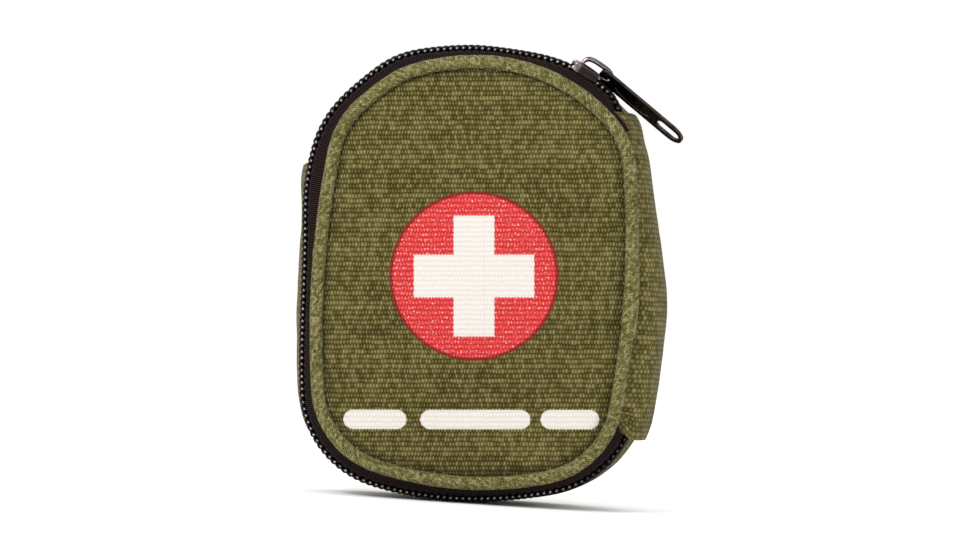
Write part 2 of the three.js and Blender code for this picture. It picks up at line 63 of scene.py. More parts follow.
TOP, BOTTOM = 111.8, 3.5
CROWN, SHOULDER, SIDE, CORNER, BASE = 46.0, 22.4, 235.0, 23.0, 85.0
HALF_CROWN, HALF_BASE = 44.0, 15.0


def polar(centre, degrees, distance):
    a = math.radians(degrees)
    return centre[0] + distance * math.cos(a), centre[1] + distance * math.sin(a)


def outline_arcs():
    """The right half as arcs that touch, from the bottom to the top: (centre, radius, from, to)."""
    crown = (0.0, TOP - CROWN)
    base = (0.0, BOTTOM + BASE)
    shoulder = polar(crown, 90 - HALF_CROWN, CROWN - SHOULDER)
    corner = polar(base, HALF_BASE - 90, BASE - CORNER)
    dx, dz = corner[0] - shoulder[0], corner[1] - shoulder[1]
    apart = math.hypot(dx, dz)
    along = ((SIDE - SHOULDER) ** 2 - (SIDE - CORNER) ** 2 + apart**2) / (2 * apart)
    across = math.sqrt((SIDE - SHOULDER) ** 2 - along**2)
    side = (
        shoulder[0] + (along * dx + across * dz) / apart,
        shoulder[1] + (along * dz - across * dx) / apart,
    )
    low = math.degrees(math.atan2(corner[1] - side[1], corner[0] - side[0]))
    high = math.degrees(math.atan2(shoulder[1] - side[1], shoulder[0] - side[0]))
    ends = [-90, HALF_BASE - 90, low, high, 90 - HALF_CROWN, 90]
    parts = [(base, BASE), (corner, CORNER), (side, SIDE), (shoulder, SHOULDER), (crown, CROWN)]
    return [(c, r, a, b) for (c, r), a, b in zip(parts, ends, ends[1:])]


ARCS = outline_arcs()
ARC_X, ARC_Z, ARC_R, ARC_ENDS = np.array([(*c, r, b) for c, r, _, b in ARCS]).T
_lengths = [math.radians(b - a) * r for _, r, a, b in ARCS]
RUN_S = np.concatenate([[0], np.cumsum(_lengths + _lengths[::-1])])
RUN_A = np.concatenate([[-90], ARC_ENDS, (180 - ARC_ENDS[:-1])[::-1], [270]])
AROUND = RUN_S[-1]


def run_at(degrees):
    """How far along the outline, from the middle of the bottom, its normal has this angle."""
    return np.interp(degrees, RUN_A, RUN_S)


SLIDER_RUN = run_at(90 - SLIDER_DEGREES)
FULLER_AT, FULLER_OUT, FULLER_REACH = run_at(117), 0.75, 8.5
BOWS = ((1.46, 0.2, -0.9), (2.02, 0.2, 0.75), (2.74, 0.26, 1.0))
BOW_CENTRE_Z = 60


def place(s, out):
    """x and z of the outline at s, moved outwards by out. The upper left is a little fuller."""
    out = out + FULLER_OUT * np.exp(-(((np.mod(s, AROUND) - FULLER_AT) / FULLER_REACH) ** 2))
    a = np.interp(np.mod(s, AROUND), RUN_S, RUN_A)
    left = a > 90
    b = np.where(left, 180 - a, a)
    i = np.clip(np.searchsorted(ARC_ENDS, b - 1e-6), 0, 4)
    x = ARC_X[i] + (ARC_R[i] + out) * np.cos(np.radians(b))
    z = ARC_Z[i] + (ARC_R[i] + out) * np.sin(np.radians(b))
    return np.where(left, -x, x), z


def spread(s):
    """How much further out than its plain seam line the zip lies. BOWS are (angle, width, height)."""
    x, z = place(s, 3.0)
    turn = np.arctan2(z - BOW_CENTRE_Z, x)
    turn = np.where(turn < -np.pi / 2, turn + 2 * np.pi, turn)
    bow = 0.3 - 0.5 * np.cos(4 * turn - 1.07)
    for angle, width, height in BOWS:
        bow = bow + height * np.exp(-(((turn - angle) / width) ** 2))
    return bow - 1.7 * smoothstep((SLIDER_RUN - 6.5 - s) / 8)


def run_at_height(height, out):
    """Where the right side, moved outwards by out, is at this height."""
    s = np.linspace(run_at(-60), run_at(75), 400)
    return np.interp(height, place(s, out)[1], s)


def smoothstep(x):
    x = np.clip(x, 0, 1)
    return x * x * (3 - 2 * x)


def ripple(a, b, wave, seed=0.0):
    """Smooth, repeatable unevenness between about -1 and 1."""
    total = 0
    for i, (f, g, h) in enumerate([(1, 0.6, 0.3), (1.7, -1.1, 2.1), (0.5, 2.3, 4.4), (2.9, 1.9, 1.2)]):
        total = total + np.sin(2 * np.pi * (f * a + g * b) / wave + h + seed * (i + 1)) / (1 + i)
    return total / 2


# ---- building blocks


def placed(name, data):
    obj = bpy.data.objects.new(name, data)
    bpy.context.scene.collection.objects.link(obj)
    return obj


def shown(name, mesh, material):
    """A piece of the scene that has this mesh and material."""
    mesh.materials.append(material)
    return placed(name, mesh)


def mesh_object(name, points, faces, loop_uv, material):
    """A piece from points in millimetres, with the cloth's coordinates at the corners of its faces."""
    mesh = bpy.data.meshes.new(name)
    mesh.from_pydata((points.reshape(-1, 3) * MM).tolist(), [], faces)
    mesh.shade_smooth()
    layer = mesh.uv_layers.new(name="cloth")
    layer.data.foreach_set("uv", np.asarray(loop_uv, np.float32).ravel())
    return shown(name, mesh, material)


def grid(name, points, u, v, material, ring_u=False, ring_v=True, caps=False):
    """A surface through points[i, j]. u and v are the cloth's own coordinates along i and j."""
    nu, nv = points.shape[:2]
    shape = (nu + ring_u, nv + ring_v)
    u = np.broadcast_to(u if np.ndim(u) == 2 else u[:, None], shape)
    v = np.broadcast_to(v, shape)
    i, j = np.meshgrid(np.arange(nu - 1 + ring_u), np.arange(nv - 1 + ring_v), indexing="ij")
    i, j = i.ravel(), j.ravel()
    corners = [(i, j), (i, j + 1), (i + 1, j + 1), (i + 1, j)]
    faces = np.stack([(a % nu) * nv + b % nv for a, b in corners], axis=1).tolist()
    uv = np.stack([np.stack([u[a, b], v[a, b]], axis=-1) for a, b in corners], axis=1).reshape(-1, 2)
    if caps:
        first, last = list(range(nv))[::-1], [(nu - 1) * nv + k for k in range(nv)]
        faces += [first, last]
        cap_uv = [np.stack([u[0, first], v[0, first]], -1), np.stack([u[-1, :nv], v[-1, :nv]], -1)]
        uv = np.concatenate([uv, *cap_uv])
    return mesh_object(name, points, faces, uv, material)


def rounded(points, times=3, ring=False):
    """A line with its corners cut off again and again, its ends kept."""
    p = np.asarray(points, float)
    for _ in range(times):
        q = np.roll(p, -1, axis=0) if ring else p[1:]
        a = p if ring else p[:-1]
        cut = np.stack([0.75 * a + 0.25 * q, 0.25 * a + 0.75 * q], axis=1).reshape(-1, 2)
        p = cut if ring else np.concatenate([p[:1], cut[1:-1], p[-1:]])
    return p


def rounded_box(x0, y0, x1, y1, times=2):
    return rounded([(x0, y0), (x1, y0), (x1, y1), (x0, y1)], times, ring=True)


def xyz(x, y, z):
    return np.stack(np.broadcast_arrays(x, y, z), -1)


def circle(count):
    return np.linspace(0, 2 * np.pi, count, endpoint=False)


def superellipse(t, power):
    return np.sign(t) * np.abs(t) ** power


def unit(vectors):
    return vectors / np.linalg.norm(vectors, axis=1, keepdims=True)


def directions(line):
    """The unit tangent and the right-hand normal at each point of a flat line."""
    d = unit(np.gradient(line, axis=0))
    return d, np.stack([d[:, 1], -d[:, 0]], axis=1)


def lengths(points):
    """How far along the line each of its points lies."""
    steps = np.linalg.norm(np.diff(points, axis=0), axis=1)
    return np.concatenate([[0], np.cumsum(steps)])


def strip_section(line, thickness):
    """A closed section under an outer line of (out, y), its edges rounded, and its cloth coordinate."""
    d, normal = directions(line)
    normal = normal * thickness
    end = lambda k, sign: line[k] - normal[k] / 2 + sign * d[k] * thickness * 0.4
    outer, inner = line, (line - normal)[::-1]
    section = np.concatenate([outer, [end(-1, 1)], inner, [end(0, -1)]])
    w = lengths(line)
    cloth = np.concatenate([w, [w[-1] + 0.5], w[-1] + 1 + w, [2 * w[-1] + 1.5, 2 * w[-1] + 2]])
    return section, cloth


def swept(name, s, sections, cloth, material, ring=False, floor=None):
    """Closed sections of (out, y), one for each s, carried round the outline."""
    sections = np.asarray(sections, float)
    if sections.ndim == 2:
        sections = np.repeat(sections[None], len(s), axis=0)
    x, z = place(s[:, None], sections[:, :, 0])
    if floor is not None:
        z = np.maximum(z, floor)
    points = xyz(x, sections[:, :, 1], z)
    u = np.append(s, s[0] + AROUND) if ring else s
    return grid(name, points, u, cloth, material, ring_u=ring, caps=not ring)


def tube(name, path, radius, sides, material, u=None):
    """A round wire along a path of points. radius is a number, or one for each point."""
    d = unit(np.gradient(path, axis=0))
    side = unit(np.cross(d, np.broadcast_to([0.0, 1.0, 0.013], d.shape)))
    up = np.cross(side, d)
    a = circle(sides)
    r = np.broadcast_to(radius, len(path))[:, None, None]
    cos, sin = np.cos(a)[None, :, None], np.sin(a)[None, :, None]
    points = path[:, None] + r * (cos * side[:, None] + sin * up[:, None])
    u = lengths(path) if u is None else u
    v = np.linspace(0, 2 * np.pi * np.max(radius), sides + 1)
    return grid(name, points, u, v, material, caps=True)


def beads(name, centres, along, up, length, radius, material):
    """Short rounded stitches, one at each centre."""
    rings, sides = 7, 6
    t = np.linspace(-1, 1, rings)
    swell = np.sqrt(np.clip(1 - np.abs(t) ** 3, 0.02, 1))
    cos, sin = (f(circle(sides))[None, None, :, None] for f in (np.cos, np.sin))
    along, up = unit(along), unit(up)
    side = np.cross(along, up)
    ring = cos * side[:, None, None] + sin * up[:, None, None]
    sag = -(t**2)[None, :, None, None] * radius * 0.8 * up[:, None, None]
    body = centres[:, None, None] + (t * length / 2)[None, :, None, None] * along[:, None, None] + sag
    points = body + radius * swell[None, :, None, None] * ring
    faces, uv = [], []
    for k in range(len(centres)):
        base = k * rings * sides
        for i in range(rings - 1):
            for j in range(sides):
                n, near, far = (j + 1) % sides, base + i * sides, base + (i + 1) * sides
                faces.append([near + j, near + n, far + n, far + j])
                uv += [(i, j), (i, j + 1), (i + 1, j + 1), (i + 1, j)]
        last = base + (rings - 1) * sides
        faces += [list(range(base, base + sides))[::-1], list(range(last, last + sides))]
        uv += [(0, 0)] * (2 * sides)
    return mesh_object(name, points, faces, uv, material)


def seam_stitches(name, body, s, out, y, length, radius, material, up=None):
    """Stitches along the outline, on a surface whose height is out, or that faces along y as up says."""
    x, z = place(s, out)
    ahead_x, ahead_z = place(s + 0.5, out)
    along = xyz(ahead_x - x, 0.0, ahead_z - z)
    over_x, over_z = place(s, out + 1.0)
    lift = xyz(over_x - x, 0.0, over_z - z) if up is None else xyz(0 * x, up, 0.0)
    add(beads(name, xyz(x, y, z), along, lift, length, radius, material), body, slot="thread")


def add(obj, body, *nodes, slot):
    """The piece rides a body and stands for these CAD nodes, which are hidden. slot is not used."""
    if body:
        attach(obj, body)
    if nodes:
        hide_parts(*nodes)


# ---- materials


def feed(tree, sockets, values):
    """A value that a node makes is linked to its socket; a plain number is set on it."""
    for socket, value in zip(sockets, values):
        if isinstance(value, Value):
            tree.links.new(value.socket, socket)
        else:
            socket.default_value = value


def does(operation):
    """A method that makes one node of arithmetic."""
    return lambda self, *others: self.math(operation, *others)


class Value:
    """A number in a node tree, with arithmetic."""

    def __init__(self, tree, socket):
        self.tree, self.socket = tree, socket

    def math(self, operation, *others, clamp=False):
        node = self.tree.nodes.new("ShaderNodeMath")
        node.operation, node.use_clamp = operation, clamp
        feed(self.tree, node.inputs, (self, *others))
        return Value(self.tree, node.outputs[0])

    __add__, __sub__, __mul__, __truediv__ = map(does, ("ADD", "SUBTRACT", "MULTIPLY", "DIVIDE"))
    floor, abs, cos = map(does, ("FLOOR", "ABSOLUTE", "COSINE"))
    high, low = map(does, ("MAXIMUM", "MINIMUM"))

    def root(self):
        return self.math("MAXIMUM", 0.0).math("SQRT")

    def share(self):
        """Kept between 0 and 1."""
        return self.math("ADD", 0.0, clamp=True)

    def within(self, reach, sharp, fray=0.0):
        """1 where the number is less than reach, 0 past it, with an edge that is 1 / sharp wide."""
        return ((self * -1.0 + reach + fray) * sharp).share()


LIT = 1.6


def linear(r, g, b):
    """The shader's colour that looks like this, 0 to 255 on screen, in the studio's light."""
    convert = lambda c: c / 12.92 if c <= 0.04045 else ((c + 0.055) / 1.055) ** 2.4
    return tuple(convert(c / 255) / LIT for c in (r, g, b)) + (1.0,)


class Surface:
    """A new material, with the nodes that most of them share."""

    def __init__(self, name):
        self.material = bpy.data.materials.new(name)
        self.material.use_nodes = True
        self.tree = self.material.node_tree
        self.shader = self.tree.nodes["Principled BSDF"]

    def new(self, kind):
        return self.tree.nodes.new("ShaderNode" + kind)

    def link(self, source, target):
        self.tree.links.new(source, target)

    def set(self, **values):
        for name, value in values.items():
            self.shader.inputs[name.replace("_", " ").title().replace("Ior", "IOR")].default_value = value
        return self

    def split(self, socket):
        node = self.new("SeparateXYZ")
        self.link(socket, node.inputs[0])
        return [Value(self.tree, part) for part in node.outputs]

    def cloth_uv(self):
        node = self.new("UVMap")
        node.uv_map = "cloth"
        return self.split(node.outputs[0])[:2]

    def space(self):
        """x, y and z of the piece at rest, in millimetres."""
        return [part * 1000.0 for part in self.split(self.new("TexCoord").outputs["Object"])]

    def turned_away(self):
        """0 where the surface is seen face on, towards 1 where it is seen edge on."""
        node = self.new("LayerWeight")
        node.inputs["Blend"].default_value = 0.5
        return Value(self.tree, node.outputs["Facing"])

    def vector(self, x, y, z=0.0):
        node = self.new("CombineXYZ")
        feed(self.tree, node.inputs, (x, y, z))
        return node.outputs[0]

    def noise(self, scale, detail, *where):
        node = self.new("TexNoise")
        self.link(self.vector(*where), node.inputs["Vector"])
        node.inputs["Scale"].default_value = scale
        node.inputs["Detail"].default_value = detail
        return Value(self.tree, node.outputs["Fac"])

    def fade(self, value, dark, light):
        """A soft change from dark to light."""
        return self.ramp(value, (0.3, dark), (0.7, light))

    def random(self, x, y):
        node = self.new("TexWhiteNoise")
        node.noise_dimensions = "2D"
        self.link(self.vector(x, y), node.inputs["Vector"])
        return Value(self.tree, node.outputs["Value"])

    def ramp(self, value, *stops):
        """Colours by value: each stop is a place between 0 and 1 and an on-screen colour."""
        node = self.new("ValToRGB")
        elements = node.color_ramp.elements
        for _ in stops[2:]:
            elements.new(0.5)
        for element, (position, colour) in zip(elements, stops):
            element.position, element.color = position, linear(*colour)
        self.link(value.socket, node.inputs[0])
        return node.outputs[0]

    def mix(self, share, a, b):
        node = self.new("Mix")
        node.data_type = "RGBA"
        for source, target in ((share.socket, 0), (a, 6), (b, 7)):
            self.link(source, node.inputs[target])
        return node.outputs[2]

    def colour(self, socket):
        self.link(socket, self.shader.inputs["Base Color"])
        return self

    def rough(self, value):
        self.link(value.socket, self.shader.inputs["Roughness"])
        return self

    def bump(self, value, distance):
        node = self.new("Bump")
        node.inputs["Distance"].default_value = distance * MM
        self.link(value.socket, node.inputs["Height"])
        self.link(node.outputs[0], self.shader.inputs["Normal"])
        return self


def weave(surface, u, v, pitch_u, pitch_v):
    """Height of a plain weave, 0 to 1, with the row and the number of the bump that lies there."""
    drift = surface.noise(0.22, 2.0, u, v) - 0.5
    u, v = u + drift * 0.36, v + drift * 0.72
    row = v / pitch_v
    j = row.floor()
    across = ((row - j - 0.5) * 2.0).abs()
    col = u / pitch_u + j + (surface.random(j, j * 0.0 + 5.0) - 0.5) * 0.5
    over = (col * math.pi).cos()
    k = (col * 0.5 + 0.5).floor()
    arch = lambda t: (t * t * -1.0 + 1.0).high(0.0)
    here = arch(across / (over * 0.24 + 0.96)) * (over * 0.32 + 0.68)
    beyond = arch((across * -1.0 + 2.0) / (over * -0.24 + 0.96)) * (over * -0.32 + 0.68)
    return here.high(beyond), j, k


def canvas(
    name, dark, middle, light, pitch=(0.395, 1.21), bias=False, fuzz=0.46, depth=0.28,
    rows=0.72, mottle=0.0, grain=(2.2, 7.0), print_on=None,
):
    """Plain-woven cloth, with fibres, soft patches and yarns that differ. The dips of the weave are painted
    darker and its crowns lighter.
    """
    s = Surface(name)
    if print_on:
        x, _, z = s.space()
        c, n = math.cos(PRINT_TILT), math.sin(PRINT_TILT)
        u = x * c + (z - PRINT_Z) * n
        v = (z - PRINT_Z) * c - x * n
    else:
        u, v = s.cloth_uv()
    if bias:
        u, v = (u + v) * 0.7071, (v - u) * 0.7071
    height, j, k = weave(s, u, v, *pitch)
    fibre = s.noise(1.6, 3.0, u * grain[0], v * grain[1])
    patch = s.noise(0.06, 3.0, u, v)
    yarn = s.random(j, k * 0.0 + 3.0)
    knot = s.random(j + 7.0, k)
    # Painted shade and light: rows sets how much the weave's height darkens its dips and lightens its
    # crowns.
    tone = height * rows + (fibre - 0.5) * fuzz * 2.0 + (patch - 0.5) * 0.3
    tone = tone + (yarn - 0.5) * 0.14 + (knot - 0.5) * 0.46 + (0.53 - rows * 0.53)
    if mottle:
        tone = tone + (s.noise(1.1, 3.0, u, v) - 0.5) * mottle
    base = s.ramp(tone.share(), (0.12, dark), (0.55, middle), (0.95, light))
    relief = height + (fibre - 0.5) * 0.35
    gloss = fibre * 0.1 + 0.86
    if print_on:
        base, gloss, relief = print_on(s, u, v, height, fibre, base, gloss, relief)
    s.colour(base).rough(gloss).bump(relief, depth)
    s.set(sheen_weight=0.04, sheen_roughness=0.5, specular_ior_level=0.1)
    return s.material


def print_on_front(s, u, v, height, fibre, base, gloss, relief):
    """A white cross on a red disc, and plain bars under it. The ink frays where the yarns dip."""
    fray = (fibre - 0.5) * 0.9 + (height - 0.5) * 0.35
    radius = (u * u + v * v).root()
    disc = radius.within(DISC_RADIUS, 3.0, fray * 0.6)
    inside_rim = radius.within(DISC_RADIUS - 0.7, 2.0, fray * 0.6)
    au, av = u.abs(), v.abs()
    upright = (au * -1.0 + 5.2).low(av * -1.0 + 15.1)
    level = (au * -1.0 + 15.1).low(av * -1.0 + 5.4)
    cross = ((upright.high(level) + fray * 0.4) * 4.0).share()
    bars = None
    for middle, width in ((-24.7, 16.0), (0.3, 27.6), (23.8, 14.8)):
        reach = ((u - middle).abs() - (width / 2 - BAR_HALF)).high(0.0)
        down = v + BARS_BELOW
        bar = (reach * reach + down * down).root() * -1.0 + BAR_HALF
        bars = bar if bars is None else bars.high(bar)
    bars = ((bars + fray * 0.35) * 4.0).share()
    # The ink's tone follows the weave: painted shade where the yarns dip, painted light on their crowns,
    # with fibres that differ.
    tone = (height * 0.7 + (fibre - 0.5) * 0.7 + 0.14).share()
    glint = ((s.noise(1.7, 2.0, u, v) - 0.57) * 8.0).share() * (height * 1.5).share()
    red = s.ramp(tone, (0.05, (138, 26, 26)), (0.4, (226, 54, 54)), (0.85, (248, 86, 84)))
    red = s.mix(glint * 0.8, red, s.ramp(tone, (0.0, (244, 200, 196)), (1.0, (255, 232, 228))))
    dark_red = s.ramp(tone, (0.1, (96, 26, 18)), (0.9, (176, 44, 40)))
    white = s.ramp(tone, (0.0, (226, 214, 204)), (0.35, (244, 237, 229)), (1.0, (249, 243, 237)))
    # Painted shade along a crease in the white ink, 2.6 mm right of the middle.
    painted_crease_shade = ((u - 2.6).abs() * -5.0 + 1.0).share() * 0.35
    shaded_white = s.ramp(tone, (0.0, (206, 190, 178)), (1.0, (222, 208, 198)))
    ink = s.mix(cross, s.mix(inside_rim, dark_red, red), s.mix(painted_crease_shade, white, shaded_white))
    base = s.mix(bars, s.mix(disc, base, ink), white)
    fleck_u, fleck_v = u - 5.9, v - 36.7
    fleck = ((fleck_u * fleck_u + fleck_v * fleck_v * 2.5).root() * -2.0 + 1.1 + fray).share()
    base = s.mix(fleck, base, s.ramp(tone, (0.0, (150, 140, 104)), (1.0, (206, 196, 164))))
    printed = disc.high(bars)
    return base, gloss - printed * 0.3, relief * (printed * -0.5 + 1.0)


def ribbed(
    name, dark, light, rib, across, gloss=0.72, depth=0.12, sheen=0.1, lean=0.8, contrast=0.56, base=0.46
):
    """Narrow woven tape: ribs across its length, gathered in lengthwise rows."""
    s = Surface(name)
    u, v = s.cloth_uv()
    row = (v / across).floor()
    tilt = (v / across - row - 0.5).abs() * lean
    ribs = ((u / rib + tilt + row * 0.5) * 2 * math.pi).cos() * 0.5 + 0.5
    groove = ((v / across) * 2 * math.pi).cos().abs()
    fibre = s.noise(1.5, 3.0, u * 3.0, v * 3.0)
    patch = s.noise(0.12, 2.0, u, v)
    tone = (ribs - 0.5) * contrast + groove * 0.1 + (fibre - 0.5) * 0.45 + (patch - 0.5) * 0.3 + base
    s.colour(s.ramp(tone.share(), (0.25, dark), (0.85, light)))
    s.rough(fibre * 0.12 + gloss).bump(ribs + groove * 0.35 + (fibre - 0.5) * 0.3, depth)
    return s.set(sheen_weight=sheen, sheen_roughness=0.45, specular_ior_level=0.06).material


def moulded(name, dark, light, rough, speckle=1.2, metal=0.0, coat=0.0, painted_highlight=False, band=False):
    """Plastic or enamelled metal with dull patches. It may have painted highlights on its ends, or a
    painted highlight as a pale band along it. Metal is painted darker where it is seen edge on.
    """
    s = Surface(name)
    x, y, z = s.space()
    wear = s.noise(0.35, 4.0, x, y, z)
    grain = s.noise(speckle, 4.0, x, y, z)
    colour = s.ramp((wear * 0.6 + grain * 0.4).share(), (0.35, dark), (0.68, light))
    if painted_highlight:
        # Painted highlights: both ends of the slider shell are pale where highlights would fall.
        along = x * math.cos(SLIDER_TURN) - (z - (TOP - CROWN)) * math.sin(SLIDER_TURN)
        ends = along.within(-1.4, 0.9).high(((along - 3.2) * 1.4).share())
        bright = ends * (grain * 1.6 - 0.1)
        colour = s.mix(bright.share(), colour, s.fade(grain, (168, 150, 150), (232, 220, 220)))
    if metal:
        # Painted shade: metal seen edge on is painted darker, while face on it keeps its lighter colour.
        shade = (s.turned_away() * 2.2 - 0.35).share()
        colour = s.mix(shade, colour, s.fade(grain, (14, 8, 8), (30, 21, 21)))
    if band:
        # Painted highlight: a pale band along the middle of the wire, with dark metal beside it.
        _, v = s.cloth_uv()
        face = (v - 7.7).abs().within(1.5, 1.2)
        colour = s.mix(face, s.fade(grain, (14, 8, 8), (34, 24, 24)), colour)
    s.colour(colour)
    s.rough((wear - 0.5) * 0.35 + (grain - 0.5) * 0.2 + rough).bump(grain, 0.03)
    return s.set(metallic=metal, coat_weight=coat, coat_roughness=0.2, specular_ior_level=0.5).material


WIRE_RADIUS = 0.66
WIRE_AROUND = 2 * math.pi * WIRE_RADIUS


def coil(name):
    """Moulded nylon wire. u counts its turns, and the front end of each turn has a painted highlight, a
    pale dot.
    """
    s = Surface(name)
    u, v = s.cloth_uv()
    turn, around = u - u.floor(), v / WIRE_AROUND
    # Painted highlights: a pale dot on the front of each turn, of random strength, faint right of x = 31
    # mm.
    painted_highlight = (turn - 0.5).abs().within(0.034, 60.0) * (around - 0.75).abs().within(0.085, 20.0)
    painted_highlight = painted_highlight * (s.random(u.floor(), v * 0.0) * 0.5 + 0.6).share()
    painted_highlight = painted_highlight * s.space()[0].within(31.0, 0.4).high(0.2)
    grain = s.noise(1.2, 3.0, u * 4.0, v)
    plain = s.fade(grain, (4, 1, 2), (30, 19, 22))
    s.colour(s.mix(painted_highlight, plain, s.fade(grain, (172, 158, 158), (220, 208, 208))))
    s.rough(grain * 0.3 + 0.45).bump(grain, 0.03)
    return s.set(specular_ior_level=0.1).material


def twisted(name, dark, light):
    """Sewing thread, twisted."""
    s = Surface(name)
    u, v = s.cloth_uv()
    ply = ((u * 1.3 + v * 0.5) * 2 * math.pi).cos() * 0.5 + 0.5
    s.colour(s.ramp(ply, (0.1, dark), (0.9, light))).bump(ply, 0.08)
    return s.set(roughness=0.75, specular_ior_level=0.3).material


def sachet_paper(name, tint):
    """Coated paper with a plain coloured band and a crimped seal."""
    s = Surface(name)
    u, v = s.cloth_uv()
    wrinkle = s.noise(0.25, 4.0, u, v)
    fibre = s.noise(3.0, 3.0, u, v)
    paper = s.fade((wrinkle * 0.6 + fibre * 0.4).share(), (206, 206, 200), (243, 243, 239))
    ink = s.ramp(fibre, (0.2, tint), (0.8, tuple(min(255, c + 22) for c in tint)))
    band = v.abs().within(4.0, 5.0)
    crimp = ((u + v) * 2 * math.pi / 0.9).cos() * ((v.abs() - 15.5) * 2.0).share()
    s.colour(s.mix(band, paper, ink)).rough(wrinkle * 0.25 + 0.38)
    return s.bump(wrinkle * 0.8 + crimp * 0.35 + fibre * 0.06, 0.5).material


METAL = {"speckle": 0.8, "metal": 0.85}
OLIVE = ((58, 49, 8), (107, 98, 48), (150, 140, 90))
canvas_cloth = canvas("canvas", *OLIVE)
strip_cloth = canvas("strip_canvas", (68, 60, 18), (116, 107, 56), (158, 148, 98), rows=0.6, depth=0.22)
printed_cloth = canvas("printed_canvas", *OLIVE, print_on=print_on_front)
piping_cloth = canvas(
    "piping_canvas", (78, 72, 26), (130, 124, 70), (182, 177, 128), (0.5, 0.56),
    bias=True, fuzz=0.5, depth=0.3, rows=0.24, mottle=1.3, grain=(2.6, 2.6),
)
binding_cloth = ribbed("seam_binding", (48, 43, 20), (92, 86, 50), rib=0.7, across=1.2, gloss=0.8)
lining_cloth = canvas(
    "nylon_lining", (58, 54, 32), (88, 83, 54), (112, 106, 76), (0.26, 0.34), fuzz=0.12, depth=0.04
)
strap_cloth = ribbed("webbing", (60, 53, 24), (122, 112, 66), rib=1.1, across=2.6, depth=0.3)
tape_cloth = ribbed(
    "zip_tape", (0, 0, 0), (70, 54, 52), rib=0.5, across=1.9, gloss=0.85, depth=0.3,
    sheen=0.0, lean=0.25, contrast=1.5, base=0.3,
)
elastic_cloth = ribbed("elastic", (14, 12, 12), (52, 48, 48), rib=0.8, across=1.1, gloss=0.7, depth=0.2)
coil_nylon = coil("coil_nylon")
slider_metal = moulded("slider_metal", (26, 18, 19), (96, 80, 82), rough=0.27, coat=0.25, **METAL)
# The bail's light colours show only in its painted highlight band.
bail_metal = moulded("bail_metal", (110, 94, 94), (206, 188, 188), rough=0.22, band=True, **METAL)
shell_metal = moulded("shell_metal", (16, 9, 5), (48, 34, 26), rough=0.3, coat=0.25, painted_highlight=True, **METAL)
olive_thread = twisted("olive_thread", (74, 66, 30), (146, 138, 92))
dark_thread = twisted("dark_thread", (20, 17, 12), (66, 60, 48))
gauze_cloth = canvas(
    "gauze", (196, 190, 176), (231, 227, 216), (248, 246, 240), (0.5, 0.6), fuzz=0.3, depth=0.12
)
crepe_cloth = canvas(
    "crepe", (188, 168, 136), (222, 206, 178), (242, 232, 212), (0.8, 0.5), fuzz=0.3, depth=0.2
)
plaster_cloth = canvas(
    "tape_cloth", (196, 178, 150), (226, 212, 188), (240, 230, 212), (0.3, 0.3), fuzz=0.15, depth=0.04
)
spool_plastic = moulded("spool_plastic", (214, 214, 210), (244, 244, 240), rough=0.42)
pad_paper = sachet_paper("pad_paper", (58, 110, 160))
wipe_paper = sachet_paper("wipe_paper", (52, 138, 126))
plaster_paper = sachet_paper("plaster_paper", (206, 120, 62))

# ---- panels, piping and linings

EVERY = np.linspace(0, AROUND, 300, endpoint=False)
# insets of a panel's rings: close together at the seam, and straight in up to STRAIGHT_IN
SEAM = [3.2, 3.6, 4.0, 4.4, 4.9, 5.5, 6.3, 7.5, 9.0, 11.0, 14.0, *range(18, 43, 4), 42.95]
STRAIGHT_IN = 14.0
MIDDLE_Z = 57.0
CENTRE = np.array([0.0, MIDDLE_Z])


def panel(name, heights, face, toward, material, seed, pucker=0.16, wave=0.22):
    """A sheet that fills the outline. heights, over SEAM, are how far it stands out of y = face."""
    rings = []
    for inset in SEAM:
        x, z = place(EVERY, -min(inset, STRAIGHT_IN))
        shrink = 1 - max(inset - STRAIGHT_IN, 0) / 29.0
        rings.append(np.stack([x, z], -1) * shrink + CENTRE * (1 - shrink))
    rings = np.array(rings)
    x, z = rings[..., 0], rings[..., 1]
    inset = np.array(SEAM)[:, None]
    near_seam = np.exp(-np.maximum(inset - 4.5, 0) / 3.0) * smoothstep((inset - 3.6) / 1.2)
    y = heights[:, None] + wave * ripple(x, z, 46.0, seed) * smoothstep((inset - 4) / 8)
    y = y + pucker * near_seam * ripple(EVERY[None], np.zeros_like(x), 9.0, seed)
    points = xyz(x, face + toward * y, z)[::-1]
    cloth = (np.concatenate([points[..., i], points[:, :1, i]], axis=1) for i in (0, 2))
    return grid(name, points, *cloth, material)


def crowned(groove, lift):
    """Heights over SEAM: down in the groove by the piping, then a soft crown."""
    inset = np.array(SEAM)
    rise = smoothstep((inset - 3.6) / 2.2)
    crown = 1 - (1 - np.clip((inset - 5) / 36, 0, 1)) ** 2
    return -groove * (1 - rise) + lift * crown


front = panel("front_panel_cloth", crowned(1.5, 1.1), FRONT, -1, printed_cloth, 0.4)
printed = ["printed_disc", "printed_cross", *(f"printed_bar_{i}" for i in (1, 2, 3))]
add(front, "cover", "front_panel", *printed, slot="canvas")

back = panel("back_panel_cloth", crowned(1.5, 0.25), BACK, 1, canvas_cloth, 1.7)
add(back, "tray", "back_panel", slot="canvas")

for name, body, node, face, toward, seed in (
    ("front_lining_cloth", "cover", "front_lining", FRONT + 2.1, 1, 2.2),
    ("back_lining_cloth", "tray", "back_lining", BACK - 2.1, -1, 3.1),
):
    inside = panel(name, crowned(-0.3, -0.1), face, toward, lining_cloth, seed, pucker=0.22, wave=0.14)
    add(inside, body, node, slot="lining")


PIPING_RADIUS, PIPING_IN = 1.66, 1.75


